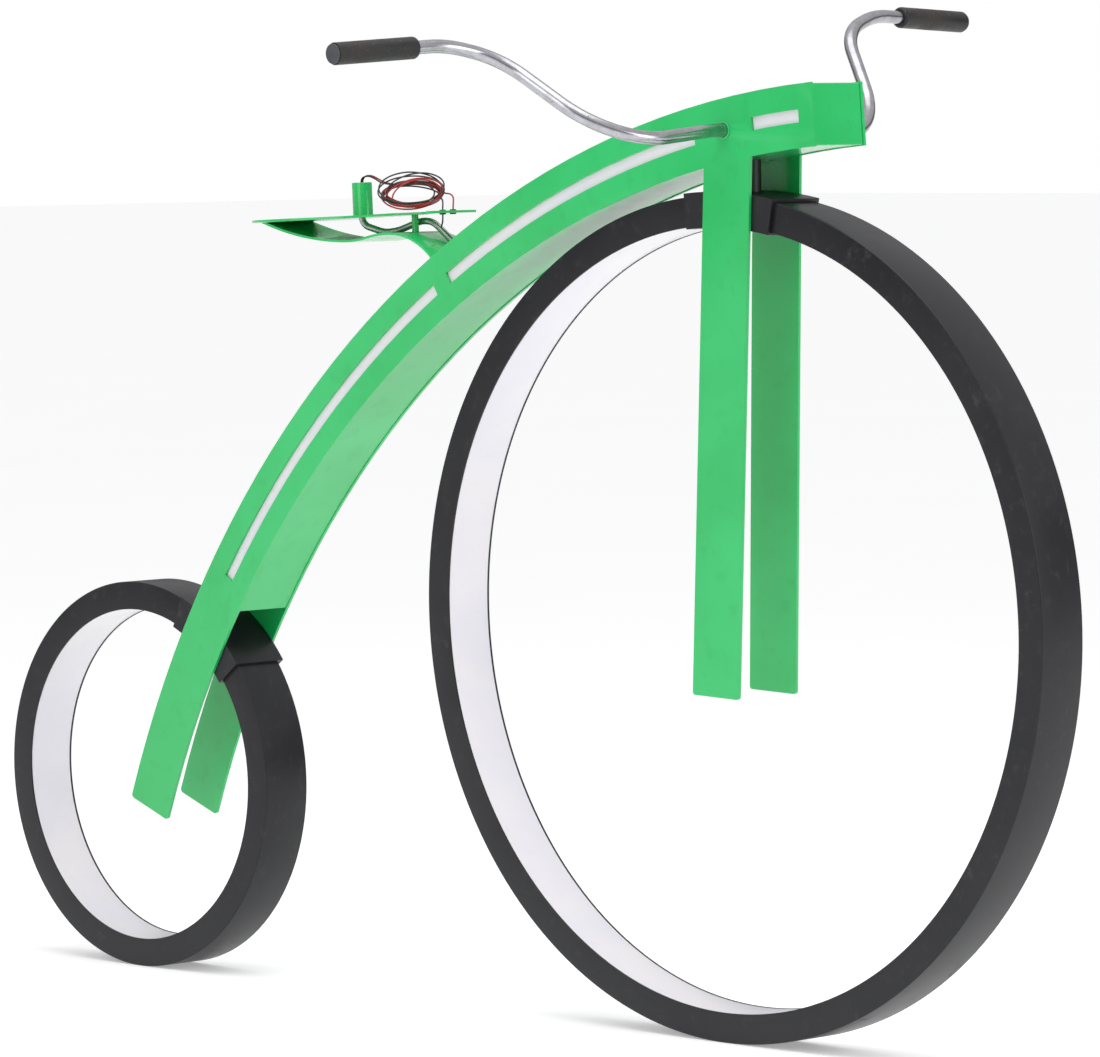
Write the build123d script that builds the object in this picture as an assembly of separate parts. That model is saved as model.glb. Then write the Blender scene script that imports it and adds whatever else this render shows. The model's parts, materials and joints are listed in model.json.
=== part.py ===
from build123d import *
import os
from math import asin, atan2, cos, degrees, radians, sin, sqrt, tan

# A garden or shop-window lamp in the shape of a penny-farthing cycle.
# Millimetres. +X is the way the machine faces, +Y its left side, +Z up.
# The origin is on the floor, midway between the front and the back of the two ring wheels.

# ---------------------------------------------------------------- wheels (ring lamps)
front_radius = 500.0
rear_radius = 250.0
ring_depth = 35.8
ring_width = 69.8
ring_wall = 2.6
ring_edge_round = 1.8
ring_lip = 0.5
ring_ledge = 2.0
diffuser_thickness = 2.5
tape_thickness = 1.5
tape_width = 12.0
tape_offset = 14.0

# ---------------------------------------------------------------- backbone
backbone_radius = 1404.4
backbone_depth = 74.4
backbone_centre_ahead = 260.6
backbone_centre_below_ring_top = 1270.3
rear_hub_radius = 1412.9
plate_thickness = 4.0
head_angle = 94.08
tail_past_hub = 1.1
belly_before_rear_ring = 1.8
top_before_rear_ring = 0.6
tail_corner = 5.0
skin_thickness = 3.0
skin_inset = 1.0
skin_gap = 0.3

# ---------------------------------------------------------------- front legs
leg_width = 75.0
leg_lean = 1.85
leg_foot_ahead = 5.5
leg_foot_below = 89.0
leg_bend_below = 70.0
leg_splay = 0.74
leg_corner = 4.0

# ---------------------------------------------------------------- light slots
slot_height = 15.2
slot_rear_start = 122.36
slot_rear_before_ring = 2.9
slot_front_angles = (102.14, 121.25)
slot_head_angles = (95.02, 98.2)
slot_diffuser_height = 27.0
slot_diffuser_lap = 0.25
slot_diffuser_lap_short = 0.07
spine_thickness = 3.0
spine_height = 32.5
spreader_radius = 6.0
spreader_front_angles = (105.5, 112.0, 118.5)
spreader_rear_backs = (18.0, 11.5, 5.0)
spreader_head_angle = 96.6
spine_front_angles = (102.0, 120.9)
spine_rear_start = 122.35
spine_rear_short = 0.2
spine_head_end = 98.9
body_tape_width = 10.0
body_tape_inset = 0.3

# ---------------------------------------------------------------- ring sleeves and riser
sleeve_wall = 4.0
sleeve_side_wall = 4.8
sleeve_inner_wall = 2.0
sleeve_gap = 0.3
front_sleeve_angles = (79.2, 95.6)
rear_sleeve_backs = (31.0, 0.8)
riser_radius = 12.5
riser_bore = 3.0
riser_ahead = 22.0
feed_radius = 2.4
feed_reach = 75.0
feed_above_belly = 8.0
screw_radius = 2.5
screw_head_radius = 4.6
screw_head_height = 2.1
screw_depth_in_plate = 3.2
front_screw_angles = (85.0, 89.8)
rear_screw_backs = (19.9, 11.9)

# ---------------------------------------------------------------- handlebar
bar_radius = 8.0
bar_wall = 1.5
bar_clearance = 0.05
socket_angle = 100.09
socket_size = 34.0
bar_inner_end = 12.0
collar_radius = 10.5
collar_length = 1.6
bar_route = ((0, 62, 0), (7.3, 228, -14.6), (-130.7, 279, 85.3), (-150, 346, 101.4), (-157, 515, 91.9))
bar_bends = (200.0, 105.0, 72.0, 135.0)
left_bar_turn = 15.05
grip_radius = 13.0
grip_length = 121.0
grip_root_round = 4.0
grip_end_round = 1.2
plug_length = 22.0
plug_head = 3.0
set_screw_radius = 2.5
set_screw_length = 9.0
set_screw_side = 26.0
set_screw_access_radius = 4.0

# ---------------------------------------------------------------- saddle
saddle_thickness = 3.0
saddle_pitch = 2.4
saddle_length = 332.0
saddle_rear_width = 150.0
saddle_nose_width = 44.0
saddle_centre_behind = 646.0
saddle_centre_below = 27.7
spring_thickness = 3.0
spring_crest_behind = 555.1
spring_crest_below = 47.6
spring_trough_behind = 639.6
spring_trough_below = 57.4
spring_front_radius = 108.0
spring_rear_radius = 498.0
spring_rear_run = 153.0
spring_tail_length = 32.0
stud_radius = 4.25
stud_behind = 552.0
stud_screw_grip = 8.0
seat_tube_radius = 12.5
seat_tube_wall = 2.0
seat_tube_height = 41.0
bush_thickness = 5.0
bush_hole_radius = 2.6
conduit_radius = 4.25
conduit_wall = 0.8
conduit_gap = 0.3
gland_radius = 5.7
gland_length = 9.0
anchor_thickness = 10.0
anchor_screw_drop = 12.0
anchor_screw_head = 3.0
anchor_screw_rows = (-22.0, 0.0, 22.0)
grommet_radius = 4.0
grommet_hole_radius = 1.3
grommet_height = 6.0
seat_hole_radius = 5.2
seat_hole_ahead = -2.0

# The conduit's corners: ahead of, beside and above the middle of the saddle plate.
conduit_route = (
    (-3.6, 0, 9.9), (-0.4, 0, -10.3), (31.1, 7, -21.2), (53.2, 10, -19.5),
    (95.7, 10, -8.8), (115.7, 10, -10.7), (139.9, 10, -28.7), (193.2, 10, -71.1),
)

# ---------------------------------------------------------------- leads
# Each route is given like the conduit's. The hank is the loose coil between the rise and the drop.
lead_radius = 1.0
hank_ahead = 90.0
hank_side = 2.0
hank_ring_radius = 35.0
hank_section_radius = 8.0
hank_turn = 45.0
hank_tilt = 24.0
hank_gap = 0.2
red_rise = (
    (0, 1.3, 39.0), (0, 1.3, 46.5), (6.2, 1.3, 50.8), (16.2, 1.5, 50.9), (27.2, 2.2, 46.4),
    (38.1, 3.6, 40.6), (47.0, 5.0, 36.4),
)
black_rise = (
    (0, -1.3, 39.4), (0, -1.3, 45.8), (5.2, -1.3, 49.6), (15.2, -1.2, 50.2), (26.2, -1.5, 46.2),
    (37.8, -0.5, 39.6), (46.3, 1.5, 35.5),
)
red_drop = (
    (120.0, 25.0, 21.0), (130.4, 26.0, 23.1), (141.0, 21.5, 19.6), (149.0, 14.5, 14.5),
    (153.8, 8.9, 8.6), (154.0, 8.0, -1.5),
)
black_drop = (
    (118.5, 17.0, 17.0), (128.0, 13.5, 17.4), (137.0, 7.5, 14.9), (143.2, 1.6, 9.6), (144.0, 0, 2.6),
    (144.0, 0, -4.6), (141.6, 1.8, -10.6), (136.4, 5.6, -14.6), (130.4, 9.6, -17.6),
)

# The rear ring stands on the floor with its hub on a circle about the backbone's centre.
arc_z = 2 * front_radius - backbone_centre_below_ring_top
hub_behind_arc = sqrt(rear_hub_radius ** 2 - (rear_radius - arc_z) ** 2)
wheel_base = hub_behind_arc - backbone_centre_ahead
front_x = (wheel_base + rear_radius - front_radius) / 2
rear_x = front_x - wheel_base
arc_x = front_x + backbone_centre_ahead
inner_radius = backbone_radius - backbone_depth
mid_radius = (backbone_radius + inner_radius) / 2

# Angles about the backbone's centre that follow the rear ring, and angles about the rear hub.
hub_angle = 180 - degrees(asin((rear_radius - arc_z) / rear_hub_radius))
ring_angle = hub_angle - degrees(rear_radius / mid_radius)
tail_angle = hub_angle + tail_past_hub
belly_end_angle = ring_angle - belly_before_rear_ring
top_end_angle = ring_angle - top_before_rear_ring
slot_rear_angles = (slot_rear_start, ring_angle - slot_rear_before_ring)
spine_rear_angles = (spine_rear_start, slot_rear_angles[1] - spine_rear_short)
spreader_rear_angles = tuple(slot_rear_angles[1] - back for back in spreader_rear_backs)
spreader_angles = spreader_front_angles + spreader_rear_angles
rear_sleeve_angles = tuple(hub_angle - 90 - back for back in rear_sleeve_backs)
rear_screw_angles = tuple(hub_angle - 90 - back for back in rear_screw_backs)

plate_gap = ring_width + 2 * (sleeve_gap + sleeve_side_wall)
plate_inner = plate_gap / 2
plate_outer = plate_inner + plate_thickness
belly_low = inner_radius + skin_inset
belly_high = belly_low + skin_thickness
top_high = backbone_radius - skin_inset
top_low = top_high - skin_thickness
leg_angle_up = 90 - leg_lean

os.makedirs("parts", exist_ok=True)


def write(name, *solids):
    """One STEP file per node; the node's solids stay separate."""
    shape = solids[0] if len(solids) == 1 else Compound(children=list(solids))
    shape.label = name
    export_step(shape, f"parts/{name}.step")


def arc_point(radius, angle):
    """A point on a circle about the backbone's centre, as X and Z."""
    return arc_x + radius * cos(radians(angle)), arc_z + radius * sin(radians(angle))


def band(centre, r_low, r_high, start, end, y_low, y_high):
    """A curved bar with a rectangular section, from one angle to another about an axis along Y."""
    outer = CenterArc(centre, r_high, start, end - start)
    inner = CenterArc(centre, r_low, start, end - start)
    outline = make_face([outer, Line(outer @ 1, inner @ 1), inner, Line(inner @ 0, outer @ 0)])
    return slab(outline, y_low, y_high)


def slab(face, y_low, y_high):
    """A flat outline, drawn as X and Z, given its thickness from y_low to y_high."""
    return extrude(Plane.XZ.offset(-y_low) * face, amount=y_high - y_low, dir=(0, 1, 0)).solid()


def backbone_band(r_low, r_high, start, end, y_low, y_high):
    return band((arc_x, arc_z), r_low, r_high, start, end, y_low, y_high)


def rod(start, end, radius):
    """A round rod between two points."""
    axis = Vector(*end) - Vector(*start)
    return extrude(Plane(origin=start, z_dir=axis) * Circle(radius), amount=axis.length).solid()


def on_backbone(radius, angle, y):
    x, z = arc_point(radius, angle)
    return x, y, z


def radial_block(r_low, r_high, angle, thickness, y_half, ahead=0.0):
    """A block that stands along a radius of the backbone; ahead moves it towards the head."""
    x, z = arc_point((r_low + r_high) / 2, angle)
    block = Box(r_high - r_low, 2 * y_half, thickness)
    along = Vector(sin(radians(angle)), 0, -cos(radians(angle)))
    place = Location(Vector(x, 0, z) + along * ahead, (0, -angle, 0))
    return (place * block).solid()


def mirrored(shape):
    return mirror(shape, about=Plane.XZ)


# ================================================================ ring wheels


def ring_section(radius):
    """The U-shaped section of the ring, open towards the wheel's centre, at +X of the axis."""
    half = ring_width / 2
    low = radius - ring_depth
    seat = low + ring_lip + diffuser_thickness
    inside = half - ring_wall
    shelf = inside - ring_ledge
    points = [
        (low, half), (radius, half), (radius, -half), (low, -half), (low, -inside), (seat, -inside),
        (seat, -shelf), (seat + ring_ledge, -shelf), (seat + ring_ledge, -inside),
        (radius - ring_wall, -inside), (radius - ring_wall, inside), (seat + ring_ledge, inside),
        (seat + ring_ledge, shelf), (seat, shelf), (seat, inside), (low, inside),
    ]
    outline = make_face(Polyline(*points, close=True))
    corners = [v for v in outline.vertices() if abs(abs(v.Y) - half) < 0.01 and v.X > radius - 0.01]
    return fillet(corners, ring_edge_round)


def turned(section, x, z):
    """A section drawn as radius and width, turned about the wheel's axis, which runs along Y."""
    profile = Plane(origin=(0, 0, 0), x_dir=(1, 0, 0), z_dir=(0, 0, 1)) * section
    return (Pos(x, 0, z) * revolve(profile, axis=Axis.Y, revolution_arc=360)).solid()


def flat_ring(r_low, r_high, y_low, y_high, x, z):
    section = Pos((r_low + r_high) / 2, (y_low + y_high) / 2) * Rectangle(r_high - r_low, y_high - y_low)
    return turned(section, x, z)


riser_x = front_x + riser_ahead
wire_top = arc_z + belly_high + 60
wire_hole = rod((riser_x, 0, 2 * front_radius - ring_depth / 2), (riser_x, 0, wire_top), riser_bore)
belly_at_riser = arc_z + sqrt(belly_high ** 2 - (riser_x - arc_x) ** 2)
feed_top = (riser_x, 0, belly_at_riser + feed_above_belly)
front_feed = rod((riser_x, 0, 2 * front_radius - 12), feed_top, feed_radius)
feed_target = Vector(*on_backbone(mid_radius, spine_rear_angles[1], 0))
rear_hub = Vector(rear_x, 0, rear_radius)
feed_way = (feed_target - rear_hub).normalized()
feed_start = rear_hub + feed_way * (rear_radius - ring_depth / 2 + 12)
rear_wire_hole = rod(feed_start, feed_start + feed_way * 40, riser_bore)
rear_feed = rod(feed_start, feed_start + feed_way * feed_reach, feed_radius)


def build_ring(name, radius, x, hole):
    z = radius
    low = radius - ring_depth + ring_lip
    inside = ring_width / 2 - ring_wall
    tape_high = radius - ring_wall
    write(f"{name}_ring_channel", (turned(ring_section(radius), x, z) - hole).solid())
    write(f"{name}_ring_diffuser", flat_ring(low, low + diffuser_thickness, -inside, inside, x, z))
    tapes = []
    for side in (-1, 1):
        middle = side * tape_offset
        y_low, y_high = middle - tape_width / 2, middle + tape_width / 2
        tapes.append(flat_ring(tape_high - tape_thickness, tape_high, y_low, y_high, x, z))
    write(f"{name}_ring_led_tapes", *tapes)


build_ring("front", front_radius, front_x, wire_hole)
build_ring("rear", rear_radius, rear_x, rear_wire_hole)
write("front_feed_wire", front_feed)
write("rear_feed_wire", rear_feed)

# ================================================================ sleeves that grip the rings


def screw(point, side):
    """A countersunk screw that goes outwards through a sleeve's wall and ends inside the plate."""
    x, y, z = point
    head_end = y + side * screw_head_height
    tip = side * (plate_inner + screw_depth_in_plate)
    cone = Cone(screw_radius, screw_head_radius, screw_head_height)
    turn = (90, 0, 0) if side > 0 else (-90, 0, 0)
    head = Pos(x, y + side * screw_head_height / 2, z) * Rot(*turn) * cone
    return (head + rod((x, head_end, z), (x, tip, z), screw_radius)).solid()


def sleeve_screws(x, radius, angles):
    """Screws through both side walls of a sleeve, at the ring's middle radius."""
    r = radius - ring_depth / 2
    found = []
    for side in (-1, 1):
        for angle in angles:
            across, up = r * cos(radians(angle)), r * sin(radians(angle))
            found.append(screw((x + across, side * (ring_width / 2 + sleeve_gap), radius + up), side))
    return found


def sleeve(x, radius, angles, screws):
    """A box-section sleeve that follows the ring; its side walls fill the gap to the plates."""
    start, end = angles
    centre = (x, radius)
    low = radius - ring_depth - sleeve_gap
    high = radius + sleeve_gap
    body = band(centre, low - sleeve_inner_wall, high + sleeve_wall, start, end, -plate_inner, plate_inner)
    tunnel_y = ring_width / 2 + sleeve_gap
    body -= band(centre, low, high, start - 2, end + 2, -tunnel_y, tunnel_y)
    for one in screws:
        body -= one
    return body.solid()


front_screws = sleeve_screws(front_x, front_radius, front_screw_angles)
rear_screws = sleeve_screws(rear_x, rear_radius, rear_screw_angles)
sleeve_high = front_radius + sleeve_gap + sleeve_wall
front_sleeve = sleeve(front_x, front_radius, front_sleeve_angles, front_screws) - wire_hole
rear_sleeve = sleeve(rear_x, rear_radius, rear_sleeve_angles, rear_screws) - rear_wire_hole
write("front_ring_sleeve", front_sleeve.solid())
write("rear_ring_sleeve", rear_sleeve.solid())
write("front_sleeve_screws", *front_screws)
write("rear_sleeve_screws", *rear_screws)

riser = rod((riser_x, 0, 2 * front_radius - 10), (riser_x, 0, 2 * front_radius + 80), riser_radius)
riser -= wire_hole
riser -= Pos(front_x, 0, front_radius) * Rot(90, 0, 0) * Cylinder(sleeve_high, plate_gap)
above_belly = Pos(arc_x, 0, arc_z) * Rot(90, 0, 0) * (
    Cylinder(backbone_radius + 100, plate_gap) - Cylinder(belly_low, plate_gap)
)
riser -= above_belly
write("head_riser", riser.solid())

# ================================================================ handlebar, sockets and grips

socket_x, socket_z = arc_point(mid_radius, socket_angle)


def bar_points(side, turn):
    """The bar's corners for one side; turn lifts the grip about the socket's axis, in degrees."""
    c, s = cos(radians(turn)), sin(radians(turn))
    points = [(socket_x, side * bar_inner_end, socket_z)]
    for ahead, out, up in bar_route:
        points.append((socket_x + c * ahead + s * up, side * out, socket_z - s * ahead + c * up))
    return points


def bar_parts(side, turn):
    points = bar_points(side, turn)
    path = FilletPolyline(*points, radius=list(bar_bends))
    plane = Plane(origin=points[0], z_dir=(0, side, 0))
    tube = sweep(plane * (Circle(bar_radius) - Circle(bar_radius - bar_wall)), path=path).solid()
    end = Vector(*points[-1])
    way = (end - Vector(*points[-2])).normalized()
    root = end - way * grip_length
    grip = rod(root, end, grip_radius)
    rims = sorted(grip.edges().filter_by(GeomType.CIRCLE), key=lambda rim: (rim.center() - root).length)
    grip = fillet(rims[:1], grip_root_round)
    rims = sorted(grip.edges().filter_by(GeomType.CIRCLE), key=lambda rim: (rim.center() - root).length)
    grip = fillet(rims[-1:], grip_end_round)
    grip -= rod((root - way), (end + way), bar_radius)
    plug = rod((end - way * plug_length), end, bar_radius - bar_wall)
    plug += rod(end, (end + way * plug_head), grip_radius - 1.5)
    return tube, grip.solid(), plug.solid()


hole_reach = plate_outer + 5
hole_ends = (socket_x, -hole_reach, socket_z), (socket_x, hole_reach, socket_z)
bar_hole = rod(*hole_ends, bar_radius + bar_clearance)
for side, name, turn in ((-1, "right", 0.0), (1, "left", left_bar_turn)):
    tube, grip, plug = bar_parts(side, turn)
    write(f"handlebar_{name}", tube)
    write(f"grip_{name}", grip)
    write(f"grip_plug_{name}", plug)
    start = (socket_x, side * plate_outer, socket_z)
    end = (socket_x, side * (plate_outer + collar_length), socket_z)
    write(f"bar_collar_{name}", (rod(start, end, collar_radius) - bar_hole).solid())

half_socket = socket_size / 2
socket_low, socket_high = mid_radius - half_socket, mid_radius + half_socket
socket_block = radial_block(socket_low, socket_high, socket_angle, socket_size, plate_inner)
set_screws = []
screw_holes = []
for y in (-set_screw_side, set_screw_side):
    tip = on_backbone(mid_radius - bar_radius - bar_clearance, socket_angle, y)
    tail = on_backbone(mid_radius - bar_radius - bar_clearance - set_screw_length, socket_angle, y)
    set_screws.append(rod(tail, tip, set_screw_radius))
    hole_low = on_backbone(socket_low - 1, socket_angle, y)
    screw_holes.append(rod(hole_low, on_backbone(mid_radius, socket_angle, y), set_screw_radius))
for hole in screw_holes:
    socket_block -= hole
write("bar_socket_block", (socket_block - bar_hole).solid())
write("bar_set_screws", *set_screws)

# ================================================================ side plates


def slot_band(angles, height, y_low, y_high):
    low, high = mid_radius - height / 2, mid_radius + height / 2
    return backbone_band(low, high, angles[0], angles[1], y_low, y_high)


foot_x = front_x + leg_foot_ahead
foot_z = front_radius - leg_foot_below
leg_up = Vector(sin(radians(leg_lean)), 0, cos(radians(leg_lean)))
leg_across = Vector(cos(radians(leg_lean)), 0, -sin(radians(leg_lean)))
bend_z = 2 * front_radius - leg_bend_below
bend_run = (bend_z - foot_z) / cos(radians(leg_lean))
leg_top_run = (2 * front_radius + 75 - foot_z) / cos(radians(leg_lean))


def leg_piece(low, high, rounded):
    """A straight stretch of the leg between two distances above its foot, lying in the plate."""
    height = high - low
    face = Rectangle(leg_width, height)
    if rounded:
        face = fillet([v for v in face.vertices() if v.Y < 0], leg_corner)
    middle = Vector(foot_x, 0, foot_z) + leg_up * (low + height / 2)
    face = Pos(middle.X, middle.Z) * Rot(0, 0, -leg_lean) * face
    return slab(face, plate_inner, plate_outer)


def side_plate():
    """The left plate: backbone, tail fork blade and front leg in one, bent outwards below the sleeve."""
    plate = backbone_band(inner_radius, backbone_radius, head_angle, tail_angle, plate_inner, plate_outer)
    tail = Vector(*on_backbone(mid_radius, tail_angle, plate_inner))
    corners = plate.edges().filter_by(Axis.Y).sort_by_distance(tail)[:2]
    plate = fillet(corners, tail_corner)
    plate += leg_piece(bend_run, leg_top_run, False)
    for angles in (slot_rear_angles, slot_front_angles, slot_head_angles):
        plate -= slot_band(angles, slot_height, plate_inner - 1, plate_outer + 1)
    hinge = Vector(foot_x, plate_inner, foot_z) + leg_up * bend_run
    blade = leg_piece(0, bend_run, True).rotate(Axis(hinge, leg_across), leg_splay)
    plate += blade
    plate -= bar_hole
    return plate.solid()


plate_left = side_plate()
plate_right = mirrored(plate_left).solid()
for one in front_screws + rear_screws:
    if one.center().Y > 0:
        plate_left -= one
    else:
        plate_right -= one
write("side_plate_left", plate_left.solid())
write("side_plate_right", plate_right.solid())

# ================================================================ saddle spring and its anchor


def backbone_place(behind, below, y=0.0):
    """A point given by its distance behind and below the front wheel's top, in its own plane."""
    return front_x - behind, y, 2 * front_radius - below


crest_x, _, crest_z = backbone_place(spring_crest_behind, spring_crest_below)
trough_x, _, trough_z = backbone_place(spring_trough_behind, spring_trough_below)


def spring_line():
    """The strip's middle line: a long rear curve, a shallow trough, a crest and a straight tail."""
    waist_x, waist_z = (crest_x + trough_x) / 2, (crest_z + trough_z) / 2
    rear_angle = degrees(asin(spring_rear_run / spring_rear_radius))
    centre_x, centre_z = crest_x, crest_z - spring_front_radius
    reach = Vector(centre_x - arc_x, centre_z - arc_z)
    tail_drop = degrees(asin(spring_front_radius / reach.length))
    tail_angle_up = degrees(atan2(reach.Y, reach.X)) - tail_drop
    rear_centre = (trough_x, trough_z + spring_rear_radius)
    rear = CenterArc(rear_centre, spring_rear_radius, 270 - rear_angle, rear_angle)
    to_waist = TangentArc((trough_x, trough_z), (waist_x, waist_z), tangent=(1, 0))
    to_crest = TangentArc((waist_x, waist_z), (crest_x, crest_z), tangent=to_waist % 1)
    front = CenterArc((centre_x, centre_z), spring_front_radius, 90, -(90 - (tail_angle_up - 90)))
    tail = Line(front @ 1, (front @ 1) + (front % 1) * spring_tail_length)
    return [rear, to_waist, to_crest, front, tail], tail_angle_up


spring_edges, anchor_angle = spring_line()


def beside(edge, t, distance):
    """A point beside an edge, square to it."""
    way = edge % t
    return (edge @ t) + Vector(-way.Y, way.X) * distance


def thick_line(edges, thickness):
    """A flat outline of one thickness about a chain of arcs and lines."""
    sides = []
    for distance in (thickness / 2, -thickness / 2):
        chain = []
        for edge in edges:
            start, middle, end = (beside(edge, t, distance) for t in (0, 0.5, 1))
            straight = edge.geom_type == GeomType.LINE
            chain.append(Line(start, end) if straight else ThreePointArc(start, middle, end))
        sides.append(chain)
    left, right = sides
    ends = [Line(left[0] @ 0, right[0] @ 0), Line(left[-1] @ 1, right[-1] @ 1)]
    return make_face(left + right + ends)


saddle_place = Location(backbone_place(saddle_centre_behind, saddle_centre_below), (0, -saddle_pitch, 0))


def on_saddle(ahead, side, up):
    """A point given on the pitched saddle plate, as X, Y and Z."""
    return (saddle_place * Pos(ahead, side, up)).position


half_saddle = saddle_thickness / 2
above_saddle = saddle_place * Pos(0, 0, 50 - half_saddle) * Box(2 * saddle_length, 4 * plate_gap, 100)
anchor_ahead = Vector(sin(radians(anchor_angle)), 0, -cos(radians(anchor_angle)))


def anchor_screw(y):
    """A cap screw through the strip's tail into the anchor block, with its head on the front."""
    face = Vector(*on_backbone(mid_radius - anchor_screw_drop, anchor_angle, y))
    face += anchor_ahead * (spring_thickness / 2)
    tip = face - anchor_ahead * (spring_thickness + anchor_thickness - 1)
    shank = rod(face, tip, screw_radius)
    return (shank + rod(face, face + anchor_ahead * anchor_screw_head, screw_head_radius)).solid()


anchor_screws = [anchor_screw(y) for y in anchor_screw_rows]
spring_body = slab(thick_line(spring_edges, spring_thickness), -plate_inner, plate_inner)
spring_slot = slab(thick_line(spring_edges, spring_thickness + 2 * skin_gap), -plate_gap, plate_gap)
spring = (spring_body - above_saddle).solid()
anchor = radial_block(
    belly_high, mid_radius + 4, anchor_angle, anchor_thickness, plate_inner,
    ahead=-(spring_thickness + anchor_thickness) / 2,
)
for one in anchor_screws:
    spring -= one
    anchor -= one

# ================================================================ saddle plate, stud and seat tube

rear_shares = ((-0.5, 0.0), (-0.455, 0.66), (-0.33, 1.0), (-0.16, 0.86), (0.06, 0.42))
nose_shares = ((0.28, 1.06), (0.43, 0.92), (0.5, 0.0))


def saddle_outline():
    """A cycle saddle in plan: wide and round behind, waisted, with a narrow round nose."""
    side = [(a * saddle_length, b * saddle_rear_width / 2) for a, b in rear_shares]
    side += [(a * saddle_length, b * saddle_nose_width / 2) for a, b in nose_shares]
    left = Spline(*side, tangents=[(0, 1), (0, -1)])
    return make_face([left, mirror(left, about=Plane.XZ)])


def saddle_rod(ahead, side, low, high, radius):
    """A rod square to the saddle plate, between two heights above the plate's middle."""
    return rod(on_saddle(ahead, side, low), on_saddle(ahead, side, high), radius)


def stud_screw(face, way):
    """A countersunk screw on the stud's axis; way is the side that its head faces."""
    cone = Cone(screw_radius, screw_head_radius, screw_head_height)
    turn = Rot(0, 0, 0) if way > 0 else Rot(180, 0, 0)
    head = saddle_place * Pos(stud_ahead, 0, face - way * screw_head_height / 2) * turn * cone
    low, high = sorted((face - way * screw_head_height, face - way * (spring_thickness + stud_screw_grip)))
    return (head + saddle_rod(stud_ahead, 0, low, high, screw_radius)).solid()


stud_ahead = saddle_centre_behind - stud_behind
crest_on_saddle = (saddle_place.inverse() * Pos(crest_x, 0, crest_z)).position
stud_screws = [
    stud_screw(half_saddle, 1),
    stud_screw(crest_on_saddle.Z - spring_thickness / 2, -1),
]
stud = saddle_rod(stud_ahead, 0, crest_on_saddle.Z - 5, -half_saddle, stud_radius) - spring_body
stud = stud.solids().sort_by(Axis.Z)[-1]
saddle = extrude(Plane(saddle_place * Pos(0, 0, -half_saddle)) * saddle_outline(), amount=saddle_thickness)
saddle -= saddle_rod(seat_hole_ahead, 0, -10, 10, seat_hole_radius)
for one in stud_screws:
    saddle -= one
    stud -= one
    spring -= one

nose_places = (red_drop[-1][:2], black_drop[-5][:2])
grommets = []
for ahead, side in nose_places:
    body = saddle_rod(ahead, side, -grommet_height / 2, grommet_height / 2, grommet_radius)
    saddle -= body
    grommets.append((body - saddle_rod(ahead, side, -10, 10, grommet_hole_radius)).solid())

tube_top = half_saddle + seat_tube_height
bush_low = tube_top - bush_thickness
tube_inside = seat_tube_radius - seat_tube_wall
seat_tube = saddle_rod(0, 0, half_saddle, tube_top, seat_tube_radius)
seat_tube -= saddle_rod(0, 0, 0, tube_top + 1, tube_inside)
bush = saddle_rod(0, 0, bush_low, tube_top, tube_inside)
bush -= saddle_rod(0, 0, bush_low - 1, tube_top + 1, bush_hole_radius)
write("saddle_plate", saddle.solid())
write("saddle_spring", spring.solid())
write("spring_anchor", anchor.solid())
write("spring_anchor_screws", *anchor_screws)
write("saddle_stud", stud.solid())
write("saddle_stud_screws", *stud_screws)
write("seat_tube", seat_tube.solid())
write("seat_tube_bush", bush.solid())
write("saddle_grommets", *grommets)

# ================================================================ conduit and leads


def bent_path(name, points):
    """Straight runs joined by arcs as large as the two runs beside each corner allow."""
    places = [Vector(*on_saddle(*point)) for point in points]
    runs = [b - a for a, b in zip(places, places[1:])]
    radii = []
    for before, after in zip(runs, runs[1:]):
        turn = radians(before.get_angle(after))
        radii.append(0.45 * min(before.length, after.length) / tan(turn / 2))
    print(name, "bend radii", [round(radius, 1) for radius in radii])
    return FilletPolyline(*places, radius=radii), places


def bent_tube(name, points, section):
    path, places = bent_path(name, points)
    return sweep(Plane(origin=places[0], z_dir=places[1] - places[0]) * section, path=path).solid(), places


ring = Circle(conduit_radius) - Circle(conduit_radius - conduit_wall)
conduit, conduit_places = bent_tube("conduit", conduit_route, ring)
run_start, run_end = conduit_places[-2:]
run_way = (run_end - run_start).normalized()


def skin_crossing():
    """Where the conduit's last run passes through the middle of the top skin."""
    middle = (top_low + top_high) / 2
    near, far = 0.0, (run_end - run_start).length
    for _ in range(40):
        half = (near + far) / 2
        point = run_start + run_way * half
        inside = (point.X - arc_x) ** 2 + (point.Z - arc_z) ** 2 < middle ** 2
        near, far = (near, half) if inside else (half, far)
    return run_start + run_way * near


crossing = skin_crossing()
gland_ends = crossing - run_way * gland_length / 2, crossing + run_way * gland_length / 2
gland_body = rod(*gland_ends, gland_radius)
write("conduit_gland", (gland_body - rod(*gland_ends, conduit_radius)).solid())

leads = {"red_rise": red_rise, "black_rise": black_rise, "red_drop": red_drop, "black_drop": black_drop}
for name, points in leads.items():
    lead, places = bent_tube(name, points, Circle(lead_radius))
    write(f"lead_{name}", lead)
    if name == "black_drop":
        last_way = (places[-1] - places[-2]).normalized()
        conduit -= rod(places[-1] - last_way * 5, places[-1], lead_radius)
write("conduit", conduit.solid())

hank_height = half_saddle + hank_ring_radius * sin(radians(hank_tilt)) + hank_section_radius + hank_gap
hank_place = saddle_place * Pos(hank_ahead, hank_side, hank_height)
hank = Rot(0, 0, hank_turn) * Rot(hank_tilt, 0, 0) * Torus(hank_ring_radius, hank_section_radius)
write("lead_hank", (hank_place * hank).solid())

# ================================================================ skins, head cap and slot lights

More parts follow.
